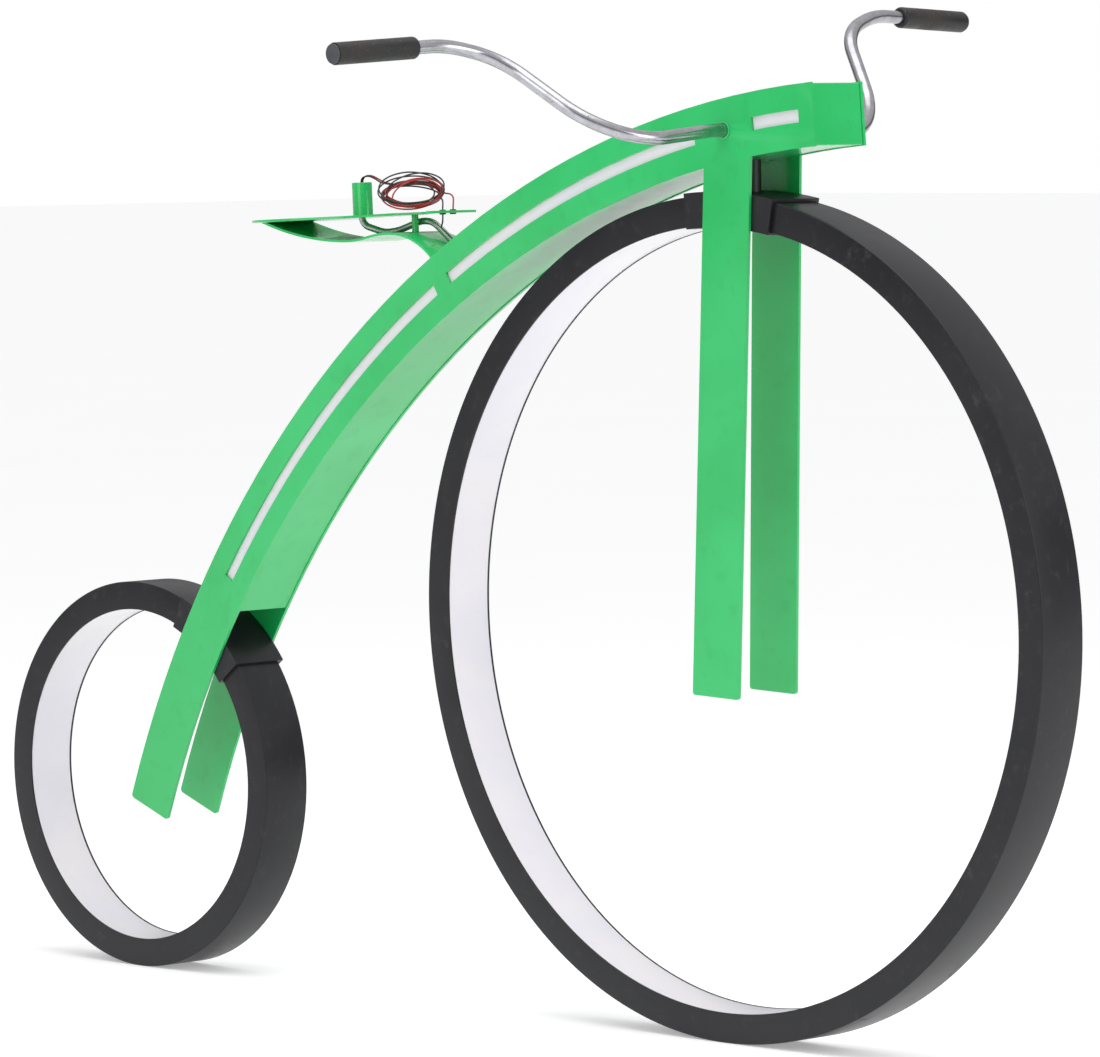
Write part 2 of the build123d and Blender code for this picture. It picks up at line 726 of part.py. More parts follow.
cap_depth = skin_inset + skin_thickness
ahead_of_cap = radial_block(
    inner_radius - 20, backbone_radius + 20, head_angle, 60, plate_gap, ahead=30 - cap_depth
)
head_cap = radial_block(
    belly_low, top_high, head_angle, skin_thickness, plate_inner, ahead=-(skin_inset + skin_thickness / 2)
)
belly = backbone_band(belly_low, belly_high, head_angle - 1, belly_end_angle, -plate_inner, plate_inner)
belly = belly - ahead_of_cap - wire_hole
for y in (-set_screw_side, set_screw_side):
    low = on_backbone(belly_low - 1, socket_angle, y)
    belly -= rod(low, on_backbone(belly_high + 1, socket_angle, y), set_screw_access_radius)
top = backbone_band(top_low, top_high, head_angle - 1, top_end_angle, -plate_inner, plate_inner)
top = top - ahead_of_cap - spring_slot - gland_body
top_rear, top_front = top.solids().sort_by(Axis.X)
write("belly_skin", belly.solid())
write("top_skin_front", top_front)
write("top_skin_rear", top_rear)
write("head_cap", head_cap)

slots = {"rear": slot_rear_angles, "front": slot_front_angles, "head": slot_head_angles}
lens_low = plate_inner - diffuser_thickness
for side, name in ((-1, "right"), (1, "left")):
    lenses = []
    for slot, (start, end) in slots.items():
        first = slot_diffuser_lap_short if slot == "rear" else slot_diffuser_lap
        y_low, y_high = sorted((side * lens_low, side * plate_inner))
        angles = (start - first, end + slot_diffuser_lap)
        lenses.append(slot_band(angles, slot_diffuser_height, y_low, y_high))
    write(f"slot_diffusers_{name}", *lenses)

spine_low = mid_radius - spine_height / 2
spine_high = mid_radius + spine_height / 2
spine_half = spine_thickness / 2
spreader_at = spine_low - spreader_radius
spreaders = []
for angle in (spreader_head_angle,) + spreader_angles:
    ends = on_backbone(spreader_at, angle, -plate_inner), on_backbone(spreader_at, angle, plate_inner)
    spreaders.append(rod(*ends, spreader_radius))
write("body_spreaders", *spreaders)
write("led_spine_front", backbone_band(spine_low, spine_high, *spine_front_angles, -spine_half, spine_half))
write("led_spine_rear", backbone_band(spine_low, spine_high, *spine_rear_angles, -spine_half, spine_half))
head_bracket = backbone_band(spine_low, spine_high, head_angle - 1, spine_head_end, -spine_half, spine_half)
write("led_bracket_head", (head_bracket - ahead_of_cap).solid())

tapes = []
tape_stop = tape_thickness + spine_half
for start, end in slots.values():
    angles = (start + body_tape_inset, end - body_tape_inset)
    for y_low, y_high in ((-tape_stop, -spine_half), (spine_half, tape_stop)):
        tapes.append(slot_band(angles, body_tape_width, y_low, y_high))
write("body_led_tapes", *tapes)
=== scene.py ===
# %% [markdown]
# # A light in the shape of a penny-farthing
# A tall ring and a small ring stand on the floor, joined by a curved, hollow backbone. The rings and the
# slots in the backbone give light. On top sit a saddle plate on a bent strip, a handlebar in two halves,
# and the bare supply leads in loose turns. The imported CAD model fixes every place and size, so this
# script adds the finish: softened edges, smooth rings, real leads, and a material for each surface.

import json
import math
import random

import bpy
from mathutils import Matrix, Vector

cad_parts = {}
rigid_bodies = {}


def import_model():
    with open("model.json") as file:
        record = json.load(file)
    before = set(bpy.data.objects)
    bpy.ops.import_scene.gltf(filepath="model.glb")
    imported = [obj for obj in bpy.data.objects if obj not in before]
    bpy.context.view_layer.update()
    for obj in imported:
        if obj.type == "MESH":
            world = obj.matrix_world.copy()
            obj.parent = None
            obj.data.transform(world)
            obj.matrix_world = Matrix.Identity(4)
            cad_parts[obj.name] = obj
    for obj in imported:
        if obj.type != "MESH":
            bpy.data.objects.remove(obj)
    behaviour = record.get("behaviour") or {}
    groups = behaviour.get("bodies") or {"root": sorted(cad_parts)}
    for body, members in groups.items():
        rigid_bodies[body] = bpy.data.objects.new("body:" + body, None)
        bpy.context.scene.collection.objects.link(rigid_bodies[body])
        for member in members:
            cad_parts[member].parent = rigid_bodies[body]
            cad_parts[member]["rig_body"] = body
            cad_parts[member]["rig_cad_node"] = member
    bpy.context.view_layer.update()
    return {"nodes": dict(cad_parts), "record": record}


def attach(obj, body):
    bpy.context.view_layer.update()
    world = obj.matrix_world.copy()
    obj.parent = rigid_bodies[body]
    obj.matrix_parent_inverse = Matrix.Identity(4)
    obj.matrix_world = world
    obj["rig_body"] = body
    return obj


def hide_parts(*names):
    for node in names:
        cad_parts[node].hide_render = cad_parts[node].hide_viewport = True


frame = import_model()
nodes = frame["nodes"]
MM = 0.001

# %% [markdown]
# ## Camera
# The view is from halfway between the right side and straight ahead. The lens is long and far away, so
# the near and far sides of a ring are drawn nearly to one scale. The camera is a little over a metre
# above the floor and looks slightly down.

# %% Place the camera
CAMERA_PLACE = (5.5772, -5.4015, 1.0923)
CAMERA_TURN = 45.496
CAMERA_DOWN = 3.693
CAMERA_ROLL = -0.666
CAMERA_LENS = 208.08
FILM_WIDTH = 36.0
SEES_TO = 200.0

camera = bpy.data.objects.new("camera", bpy.data.cameras.new("camera"))
bpy.context.scene.collection.objects.link(camera)
camera.data.lens = CAMERA_LENS
camera.data.sensor_width = FILM_WIDTH
camera.data.clip_end = SEES_TO
turn = Matrix.Rotation(math.radians(CAMERA_TURN), 4, "Z")
tip = Matrix.Rotation(math.radians(90 - CAMERA_DOWN), 4, "X")
roll = Matrix.Rotation(math.radians(CAMERA_ROLL), 4, "Z")
camera.matrix_world = Matrix.Translation(CAMERA_PLACE) @ turn @ tip @ roll
bpy.context.scene.camera = camera
print("camera at", CAMERA_PLACE)

# %% [markdown]
# ## Materials as expressions
# A finish is easier to read as arithmetic than as boxes and wires. A small class wraps a shader socket,
# so that `0.3 + 0.1 * grain` adds the two Math nodes it needs. Every other node comes from one method.

# %% A socket that can be used in sums
class Value:
    """A shader socket in a sum, a difference or a product."""

    def __init__(self, finish, socket):
        self.finish = finish
        self.socket = socket

    def maths(self, operation, first, second):
        return self.finish.node("Math", {"operation": operation}, {0: first, 1: second})

    def __add__(self, other):
        return self.maths("ADD", self, other)

    def __radd__(self, other):
        return self.maths("ADD", other, self)

    def __sub__(self, other):
        return self.maths("SUBTRACT", self, other)

    def __rsub__(self, other):
        return self.maths("SUBTRACT", other, self)

    def __mul__(self, other):
        return self.maths("MULTIPLY", self, other)

    def __rmul__(self, other):
        return self.maths("MULTIPLY", other, self)


# %% The one method that adds a node
class Wiring:
    """A node tree, and the method that adds a node with its settings and its sockets."""

    def __init__(self, tree):
        self.tree = tree

    def node(self, kind, settings, sockets, out=0):
        made = self.tree.nodes.new("ShaderNode" + kind)
        for name, value in settings.items():
            if name == "stops":
                self.set_stops(made.color_ramp, value)
            else:
                setattr(made, name, value)
        for name, value in sockets.items():
            self.join(made.inputs[name], value)
        return None if out is None else Value(self, made.outputs[out])

    def set_stops(self, ramp, stops):
        while len(ramp.elements) < len(stops):
            ramp.elements.new(1.0)
        for element, (position, tint) in zip(ramp.elements, stops):
            element.position = position
            element.color = tint

    def join(self, socket, value):
        if isinstance(value, Value):
            self.tree.links.new(value.socket, socket)
        else:
            socket.default_value = value


# %% A finish
class Finish(Wiring):
    """A material with a Principled shader; constants are set on the shader's own sockets."""

    def __init__(self, name, **constants):
        self.material = bpy.data.materials.new(name)
        self.material.use_nodes = True
        super().__init__(self.material.node_tree)
        self.shader = self.tree.nodes["Principled BSDF"]
        for socket, value in constants.items():
            self.shader.inputs[socket.replace("_", " ")].default_value = value
        self.place = self.node("TexCoord", {}, {}, out="Object")

    def feed(self, **sockets):
        for name, value in sockets.items():
            self.join(self.shader.inputs[name.replace("_", " ")], value)


# %% Patterns that the finishes share
# A Mix node has sockets for numbers, vectors and colours. These are the numbers of its colour ones.
MIX_FACTOR, MIX_FIRST, MIX_SECOND, MIX_COLOUR = 0, 6, 7, 2


def grain(finish, scale, detail=3.0, roughness=0.55, stretch=(1.0, 1.0, 1.0)):
    """Noise with about `scale` features to a metre, from 0 to 1."""
    place = finish.node("Mapping", {}, {"Vector": finish.place, "Scale": stretch})
    sockets = {"Vector": place, "Scale": scale, "Detail": detail, "Roughness": roughness}
    return finish.node("TexNoise", {}, sockets)


def between(finish, value, low, high):
    """0 below low and 1 above high, with a soft step from one to the other."""
    sockets = {"Value": value, "From Min": low, "From Max": high, "To Min": 0.0, "To Max": 1.0}
    return finish.node("MapRange", {"interpolation_type": "SMOOTHSTEP"}, sockets)


def blend_colours(finish, amount, first, second):
    """The first colour where amount is 0, the second where it is 1."""
    sockets = {MIX_FACTOR: amount, MIX_FIRST: first, MIX_SECOND: second}
    return finish.node("Mix", {"data_type": "RGBA"}, sockets, out=MIX_COLOUR)


def bump(finish, height, depth, strength=1.0):
    """A surface normal from a height, where a height of 1 stands out by depth, in metres."""
    sockets = {"Height": height, "Distance": depth, "Strength": strength}
    return finish.node("Bump", {}, sockets)


def scratches(finish, scale, stretch, low=0.62, high=0.72):
    """Fine lines, from noise pulled out along one way."""
    return between(finish, grain(finish, scale, 6.0, 0.7, stretch), low, high)


def colour(red, green, blue):
    return (red, green, blue, 1.0)


print("patterns ready")

# %% [markdown]
# ## Green enamel
# The plates, skins, saddle and its strip are sheet steel, sprayed in a glossy two-coat green. Sprayed
# enamel is never quite even: the coat drifts in shade over a hand's width, has a fine orange-peel skin,
# and carries dust specks and rubbed spots. The base gives the colour and a clear coat gives the gloss.

# %% Green enamel
GREEN = colour(0.007, 0.470, 0.105)
GREEN_PALE = colour(0.018, 0.535, 0.140)
GREEN_DEEP = colour(0.004, 0.390, 0.072)

green = Finish("green_enamel", Coat_Roughness=0.07, IOR=1.5)
drift = grain(green, 5.0, 2.0)
mottle = grain(green, 42.0, 4.0)
peel = grain(green, 620.0, 2.0)
specks = between(green, grain(green, 900.0, 1.0), 0.76, 0.80)
rubs = scratches(green, 26.0, (1.0, 3.0, 9.0), 0.66, 0.78)
shade = blend_colours(green, between(green, drift, 0.35, 0.68), GREEN, GREEN_PALE)
shade = blend_colours(green, 0.35 * between(green, mottle, 0.52, 0.74), shade, GREEN_DEEP)
shade = blend_colours(green, 0.16 * rubs, shade, colour(0.30, 0.62, 0.38))
shade = blend_colours(green, 0.5 * specks, shade, colour(0.012, 0.16, 0.05))
green.feed(
    Base_Color=shade,
    Roughness=0.26 + 0.12 * mottle + 0.20 * rubs,
    Coat_Weight=0.60 - 0.40 * rubs,
    Normal=bump(green, peel + 0.5 * mottle, 0.00006, 0.55),
)
print("green enamel")

# %% [markdown]
# ## Black satin powder coat
# The rings' channels, the sleeves that grip them and the head's riser have a satin powder coat. It has a
# fine pebble, pale scuffs and a little dust. Both come from noise all over the piece, not from where it
# is really rubbed, which is simpler and holds from every side.

# %% Black satin
black = Finish("black_powder_coat", IOR=1.4)
cloud = grain(black, 7.0, 3.0)
pebble = grain(black, 1100.0, 2.0)
scuff = scratches(black, 30.0, (1.0, 7.0, 1.0), 0.60, 0.74)
dust = between(black, grain(black, 55.0, 6.0, 0.7), 0.52, 0.80)
SATIN = colour(0.009, 0.009, 0.012)
SATIN_PALE = colour(0.014, 0.014, 0.016)
coat = blend_colours(black, between(black, cloud, 0.3, 0.7), SATIN, SATIN_PALE)
coat = blend_colours(black, 0.20 * scuff, coat, colour(0.14, 0.13, 0.13))
coat = blend_colours(black, 0.09 * dust, coat, colour(0.22, 0.19, 0.16))
black.feed(
    Base_Color=coat,
    Roughness=0.30 + 0.16 * dust + 0.12 * cloud + 0.1 * scuff,
    Normal=bump(black, pebble + 0.2 * scuff, 0.00005, 0.6),
)
print("black powder coat")

# %% [markdown]
# ## Opal diffuser
# The light comes out through opal acrylic: milky white, a touch lavender when it is off, with a soft
# sheen. The white drifts slightly in shade, under a thin film of dust and a few hairline scratches.

# %% Opal acrylic
opal = Finish("opal_acrylic", IOR=1.49, Subsurface_Weight=0.12, Subsurface_Radius=(0.004, 0.004, 0.004))
milk = grain(opal, 9.0, 2.0)
film = between(opal, grain(opal, 70.0, 5.0, 0.65), 0.50, 0.78)
hairline = scratches(opal, 60.0, (1.0, 1.0, 8.0), 0.66, 0.74)
OPAL_COOL = colour(0.755, 0.740, 0.795)
OPAL_WARM = colour(0.785, 0.765, 0.790)
white = blend_colours(opal, between(opal, milk, 0.35, 0.65), OPAL_COOL, OPAL_WARM)
white = blend_colours(opal, 0.10 * film, white, colour(0.60, 0.58, 0.54))
opal.feed(
    Base_Color=white,
    Roughness=0.30 + 0.12 * film + 0.1 * hairline,
    Normal=bump(opal, grain(opal, 240.0, 2.0) + 0.3 * hairline, 0.00004, 0.35),
)
print("opal acrylic")

# %% [markdown]
# ## Bare metals
# The handlebar is chromed tube with small water stains and pitting. The conduit under the saddle is plain
# zinc-plated tube, the screws are zinc, the inner blocks raw steel and the spines mill aluminium. Each
# one is the same idea with other numbers: a metal whose roughness is cloudy, with stains and fine lines.

# %% Metals
def metal(name, pale, dark, roughness, stain_scale, stain_low, line_stretch, depth):
    finish = Finish(name, Metallic=1.0)
    haze = grain(finish, 60.0, 5.0, 0.6)
    stain = between(finish, grain(finish, stain_scale, 5.0, 0.7), stain_low, stain_low + 0.10)
    pits = between(finish, grain(finish, 1300.0, 1.0), 0.70, 0.78)
    lines = grain(finish, 300.0, 4.0, 0.6, line_stretch)
    tone = blend_colours(finish, 0.35 * between(finish, haze, 0.3, 0.7), pale, dark)
    tone = blend_colours(finish, 0.75 * stain, tone, dark)
    finish.feed(
        Base_Color=tone,
        Metallic=1.0 - 0.35 * stain,
        Roughness=roughness + 0.14 * haze + 0.30 * stain + 0.15 * pits,
        Normal=bump(finish, lines + 0.6 * pits, depth, 0.4),
    )
    return finish


ALONG_Y = (6.0, 0.25, 6.0)
ALONG_X = (0.25, 6.0, 6.0)
chrome = metal(
    "chromed_tube", colour(0.47, 0.47, 0.51), colour(0.20, 0.17, 0.15),
    roughness=0.16, stain_scale=110.0, stain_low=0.62, line_stretch=ALONG_Y, depth=0.000004,
)
zinc_tube = metal(
    "zinc_plated_tube", colour(0.66, 0.66, 0.66), colour(0.24, 0.22, 0.20),
    roughness=0.20, stain_scale=140.0, stain_low=0.58, line_stretch=ALONG_X, depth=0.00004,
)
zinc = metal(
    "zinc_plated_screws", colour(0.58, 0.58, 0.60), colour(0.28, 0.27, 0.25),
    roughness=0.24, stain_scale=400.0, stain_low=0.60, line_stretch=(1, 1, 1), depth=0.00003,
)
raw_steel = metal(
    "raw_steel", colour(0.38, 0.37, 0.37), colour(0.16, 0.11, 0.08),
    roughness=0.34, stain_scale=60.0, stain_low=0.55, line_stretch=(1, 3, 1), depth=0.00006,
)
aluminium = metal(
    "mill_aluminium", colour(0.72, 0.72, 0.74), colour(0.45, 0.44, 0.43),
    roughness=0.26, stain_scale=50.0, stain_low=0.62, line_stretch=(1, 8, 1), depth=0.00004,
)
print("five metals")

# %% [markdown]
# ## Rubber and plastics
# The grips are black rubber sleeves, browner and duller in the patches that have aged, with fine cuts.
# The bush and grommets are moulded black plastic, the end plugs a dark grey one, the gland is pale grey,
# and the leads have glossy PVC insulation.

# %% Rubber
rubber = Finish("grip_rubber", IOR=1.45)
age = between(rubber, grain(rubber, 22.0, 5.0, 0.65), 0.42, 0.68)
cuts = scratches(rubber, 120.0, (0.5, 4.0, 4.0), 0.60, 0.68)
skin = grain(rubber, 1500.0, 2.0)
tone = blend_colours(rubber, 0.8 * age, colour(0.010, 0.010, 0.012), colour(0.036, 0.028, 0.024))
tone = blend_colours(rubber, 0.6 * cuts, tone, colour(0.22, 0.20, 0.18))
rubber.feed(
    Base_Color=tone,
    Roughness=0.34 + 0.30 * age + 0.1 * skin,
    Normal=bump(rubber, skin + 0.8 * cuts, 0.00010, 0.6),
)
print("grip rubber")


# %% Plastics and leads
def plastic(name, pale, dark, roughness, depth):
    finish = Finish(name, IOR=1.48)
    cloud = grain(finish, 45.0, 4.0)
    texture = grain(finish, 1300.0, 2.0)
    marks = scratches(finish, 150.0, (1.0, 3.0, 1.0))
    tone = blend_colours(finish, between(finish, cloud, 0.35, 0.70), pale, dark)
    tone = blend_colours(finish, 0.25 * marks, tone, colour(0.42, 0.40, 0.38))
    finish.feed(
        Base_Color=tone,
        Roughness=roughness + 0.12 * cloud + 0.15 * marks,
        Normal=bump(finish, texture + 0.4 * marks, depth, 0.5),
    )
    return finish


black_plastic = plastic(
    "moulded_black_plastic", colour(0.018, 0.018, 0.020), colour(0.034, 0.032, 0.032),
    roughness=0.38, depth=0.00006,
)
plug_plastic = plastic(
    "grip_plug_plastic", colour(0.040, 0.046, 0.056), colour(0.062, 0.066, 0.075),
    roughness=0.46, depth=0.00008,
)
grey_plastic = plastic(
    "moulded_grey_plastic", colour(0.62, 0.61, 0.59), colour(0.46, 0.44, 0.42),
    roughness=0.40, depth=0.00005,
)
red_pvc = plastic(
    "red_pvc", colour(0.40, 0.013, 0.010), colour(0.26, 0.009, 0.008),
    roughness=0.24, depth=0.00003,
)
black_pvc = plastic(
    "black_pvc", colour(0.012, 0.012, 0.013), colour(0.022, 0.020, 0.020),
    roughness=0.24, depth=0.00003,
)
print("plastics")

# %% [markdown]
# ## LED tape
# White tape with yellow phosphor windows lies in each ring's channel and along each spine. Diffusers
# hide it, so a cell pattern on flat tape gives the windows, and no lamp or chip is modelled.

# %% LED tape
tape = Finish("led_tape", IOR=1.45)
grid = {"Vector": tape.place, "Scale": 60.0, "Randomness": 0.1}
cells = tape.node("TexVoronoi", {"distance": "CHEBYCHEV"}, grid)
window = 1.0 - between(tape, cells, 0.20, 0.26)
print_dots = between(tape, grain(tape, 300.0, 2.0), 0.58, 0.64)
face = blend_colours(tape, 0.5 * print_dots, colour(0.80, 0.78, 0.72), colour(0.62, 0.42, 0.20))
face = blend_colours(tape, window, face, colour(0.78, 0.70, 0.10))
tape.feed(Base_Color=face, Roughness=0.45 - 0.2 * window, Normal=bump(tape, window, 0.0003, 0.8))
print("led tape")

# %% [markdown]
# ## A finish for each slot
# The record names a material slot for every CAD node. One table turns the slot into a finish, so no node
# is forgotten, whether it stays as it is or a new piece takes its place.

# %% Give every CAD node its finish
finish_of_slot = {
    "green_paint": green,
    "black_satin": black,
    "opal_diffuser": opal,
    "led_tape": tape,
    "screw_steel": zinc,
    "polished_steel": chrome,
    "grip_rubber": rubber,
    "raw_steel": raw_steel,
    "spine_aluminium": aluminium,
    "black_plastic": black_plastic,
    "grey_plastic": grey_plastic,
    "red_lead": red_pvc,
    "black_lead": black_pvc,
}
own_finish = {"conduit": zinc_tube, "grip_plug_left": plug_plastic, "grip_plug_right": plug_plastic}
slot_of_node = {part["node"]: part["material_slot"] for part in frame["record"]["subparts"]}
body_of_node = {name: node["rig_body"] for name, node in nodes.items()}


def paint(piece, finish):
    """Gives the whole piece one material."""
    piece.data.materials.clear()
    piece.data.materials.append(finish.material)


def finish_for(name):
    return own_finish.get(name, finish_of_slot[slot_of_node[name]])


for name, node in nodes.items():
    paint(node, finish_for(name))
print("painted", len(nodes), "nodes")

# %% [markdown]
# ## The leads
# Two bare supply leads, red and black, come out of the bush on the seat tube, lie above the saddle plate
# in a little over six loose turns, and go down through a hole each. Each is one smooth curve. Its turns
# are points of that same curve, from a seeded loop, so they differ in size and height and fan out as
# loose wire does. A few turns that stand out from the rest are listed one by one.

# %% The saddle's own frame
SADDLE_ORIGIN = Vector((-244.494, 0.0, 972.3))
SADDLE_PITCH = math.radians(2.4)


def on_saddle(ahead, side, up):
    """A point in metres, from millimetres along the saddle plate, across it and above its middle."""
    x = ahead * math.cos(SADDLE_PITCH) - up * math.sin(SADDLE_PITCH)
    z = ahead * math.sin(SADDLE_PITCH) + up * math.cos(SADDLE_PITCH)
    return (SADDLE_ORIGIN + Vector((x, side, z))) * MM


print("saddle origin", tuple(on_saddle(0, 0, 0)))

# %% The loose turns
HANK = Vector((90.0, 2.0, 23.94))
HANK_TURN = math.radians(45.0)
HANK_TILT = math.radians(24.0)
POINTS_PER_TURN = 14
LOOSENESS = 5.0
WAVER = 0.6


def hank_point(angle, radius, lift):
    """A point of a turn: angle about the hank's axis, radius of the turn, lift along the axis."""
    across = Vector((radius * math.cos(angle), radius * math.sin(angle), lift))
    tilted = Matrix.Rotation(HANK_TILT, 3, "X") @ across
    return HANK + Matrix.Rotation(HANK_TURN, 3, "Z") @ tilted


def loose_turns(start, end, whole_turns, seed, radii, special):
    """Points from one angle to another, in degrees, backwards through whole_turns and the rest.

    Each turn has its own radius, lift, shift sideways and extra tilt, and drifts into the next one's.
    special gives some turns listed values, where a loop stands out from the rest.
    """
    chance = random.Random(seed)

    def one_turn():
        radius, lift = chance.uniform(*radii), chance.uniform(-LOOSENESS, LOOSENESS)
        return [radius, lift] + [chance.uniform(-LOOSENESS, LOOSENESS) for _ in range(4)]

    turns = [one_turn() for _ in range(whole_turns + 3)]
    for number, values in special.items():
        turns[number] = values
    sweep = start - end + 360.0 * whole_turns
    count = int(sweep / 360.0 * POINTS_PER_TURN)
    points = []
    for step in range(count + 1):
        turned = sweep * step / count
        turn, part = divmod(turned / 360.0, 1.0)
        ease = part * part * (3.0 - 2.0 * part)
        here, after = turns[int(turn)], turns[int(turn) + 1]
        now = [a + (b - a) * ease for a, b in zip(here, after)]
        radius, lift, shift_cos, shift_sin, tilt_cos, tilt_sin = now
        angle = math.radians(start - turned)
        shift = shift_cos * math.cos(angle) + shift_sin * math.sin(angle)
        tilt = tilt_cos * math.cos(angle) + tilt_sin * math.sin(angle)
        points.append(hank_point(angle, radius + shift + chance.uniform(-WAVER, WAVER), lift + tilt))
    return points


print("points per turn", POINTS_PER_TURN)

# %% Build the two leads
LEAD_DIAMETER = 2.0


def lead(name, points, finish, replaced):
    """One open spline through its control points, swept with a round section."""
    curve = bpy.data.curves.new(name, "CURVE")
    curve.dimensions = "3D"
    curve.resolution_u = 5
    curve.bevel_depth = LEAD_DIAMETER / 2 * MM
    curve.bevel_resolution = 3
    curve.use_fill_caps = True
    spline = curve.splines.new("NURBS")
    spline.points.add(len(points) - 1)
    for point, place in zip(spline.points, points):
        point.co = (*on_saddle(*place), 1.0)
    spline.order_u = 3
    spline.use_endpoint_u = True
    piece = bpy.data.objects.new(name, curve)
    bpy.context.scene.collection.objects.link(piece)
    paint(piece, finish)
    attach(piece, "frame")
    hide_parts(*replaced)
    on_saddle(*points[0])
    print(name, "has", len(points), "points")
    return piece


# %% The leads' routes and turns
red_rise = [
    (0, 1.3, 39.0), (0, 1.3, 46.5), (6.2, 1.3, 50.8),
    (16.2, 1.5, 50.9), (27.2, 2.2, 46.4), (38.1, 3.6, 40.6),
]
black_rise = [
    (0, -1.3, 39.4), (0, -1.3, 45.8), (5.2, -1.3, 49.6),
    (15.2, -1.2, 50.2), (26.2, -1.5, 46.2), (37.8, -0.5, 39.6),
]
red_drop = [
    (130.4, 26.0, 23.1), (141.0, 21.5, 19.6), (149.0, 14.5, 14.5),
    (153.8, 8.9, 8.6), (154.0, 8.0, -1.5),
]
black_drop = [
    (128.0, 13.5, 17.4), (137.0, 7.5, 14.9), (143.2, 1.6, 9.6), (144.0, 0.0, 2.6),
    (144.0, 0.0, -4.6), (141.6, 1.8, -10.6), (136.4, 5.6, -14.6), (130.4, 9.6, -17.6),
]
# A listed turn: its radius, its lift, two numbers for its shift and two for its tilt.
red_special = {
    0: [35.0, 1.0, 0.0, 0.0, 0.0, 0.0],
    3: [31.0, 3.0, 6.0, -4.0, 3.0, 5.0],
    6: [38.0, 0.0, 0.0, 0.0, 0.0, 0.0],
}
black_special = {
    0: [36.0, 2.0, 0.0, 0.0, 0.0, 0.0],
    1: [40.0, 9.0, -4.0, 3.0, 0.0, 4.0],
    3: [28.0, -2.0, -6.0, 5.0, -3.0, 6.0],
    4: [36.0, 7.0, 3.0, 3.0, 5.0, 5.0],
    6: [36.0, -1.0, 0.0, 0.0, 0.0, 0.0],
}
red_turns = loose_turns(122.0, 0.0, 6, 11, (35.0, 44.0), red_special)
black_turns = loose_turns(126.0, -12.0, 6, 5, (34.0, 43.0), black_special)
red_nodes = ["lead_red_rise", "lead_red_drop", "lead_hank"]
black_nodes = ["lead_black_rise", "lead_black_drop", "lead_hank"]
lead("red_lead", red_rise + red_turns + red_drop, red_pvc, red_nodes)
lead("black_lead", black_rise + black_turns + black_drop, black_pvc, black_nodes)

# %% [markdown]
# ## Rings
# Each ring is a rolled channel with rounded edges and an opal strip set just below its lips. The CAD
# mesh has flat facets that show along such a long outline. So the section is drawn once, point by point
# with extrude, and spun in 256 steps about the hub. The joint is merged and the faces turned outwards.

# %% Tools for modelling with operators
def only(piece):
    """Makes one object the selected and active one."""
    bpy.ops.object.select_all(action="DESELECT")
    piece.select_set(True)
    bpy.context.view_layer.objects.active = piece


def take(name, replaced, body, finish, smooth_angle=35.0):
    """Names the active object, paints it, puts it on its body and lets it stand for its CAD nodes."""
    piece = bpy.context.active_object
    piece.name = name
    piece.data.name = name
    only(piece)
    bpy.ops.object.transform_apply(location=True, rotation=True, scale=True)
    bpy.ops.object.shade_smooth_by_angle(angle=math.radians(smooth_angle))
    paint(piece, finish)
    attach(piece, body)
    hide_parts(*replaced)
    print(name, "has", len(piece.data.polygons), "faces")
    return piece


def bevel_edges(piece, width, angle=38.0, segments=3):
    """Rounds every edge that is sharper than the angle."""
    only(piece)
    soft = piece.modifiers.new("rounded edges", "BEVEL")
    soft.width = width * MM
    soft.segments = segments
    soft.limit_method = "ANGLE"
    soft.angle_limit = math.radians(angle)
    soft.use_clamp_overlap = True
    bpy.ops.object.modifier_apply(modifier=soft.name)


def even_normals(piece):
    """Keeps large flat faces flat to the eye, beside their narrow bevels."""
    only(piece)
    evened = piece.modifiers.new("even shading", "WEIGHTED_NORMAL")
    evened.keep_sharp = True
    bpy.ops.object.modifier_apply(modifier=evened.name)


print("tools ready")

# %% Spin a section about a hub
RING_STEPS = 256
START_SIZE = 0.01
SEAM_GAP = 0.00001


def spun_ring(name, section, hub_x, hub_z):
    """A closed outline of (radius, width) points, spun a full turn about the hub's axis along Y."""
    bpy.ops.object.select_all(action="DESELECT")
    bpy.ops.mesh.primitive_plane_add(size=START_SIZE, location=(0, 0, 0))
    piece = bpy.context.active_object
    bpy.ops.object.mode_set(mode="EDIT")
    bpy.ops.mesh.merge(type="CENTER")
    first = Vector((hub_x + section[0][0], section[0][1], hub_z)) * MM
    bpy.ops.transform.translate(value=first)
    for (radius, width), (next_radius, next_width) in zip(section, section[1:]):
        step = Vector((next_radius - radius, next_width - width, 0)) * MM
        bpy.ops.mesh.extrude_region_move(TRANSFORM_OT_translate={"value": step})
    bpy.ops.object.mode_set(mode="OBJECT")
    last = len(piece.data.vertices) - 1
    for vertex in piece.data.vertices:
        vertex.select = vertex.index in (0, last)
    bpy.ops.object.mode_set(mode="EDIT")
    bpy.ops.mesh.select_mode(type="VERT")
    bpy.ops.mesh.edge_face_add()
    bpy.ops.mesh.select_all(action="SELECT")
    hub = (hub_x * MM, 0, hub_z * MM)
    bpy.ops.mesh.spin(steps=RING_STEPS, angle=2 * math.pi, center=hub, axis=(0, 1, 0))
    bpy.ops.mesh.select_all(action="SELECT")
    bpy.ops.mesh.remove_doubles(threshold=SEAM_GAP)
    bpy.ops.mesh.normals_make_consistent(inside=False)
    bpy.ops.object.mode_set(mode="OBJECT")
    piece.name = name
    return piece


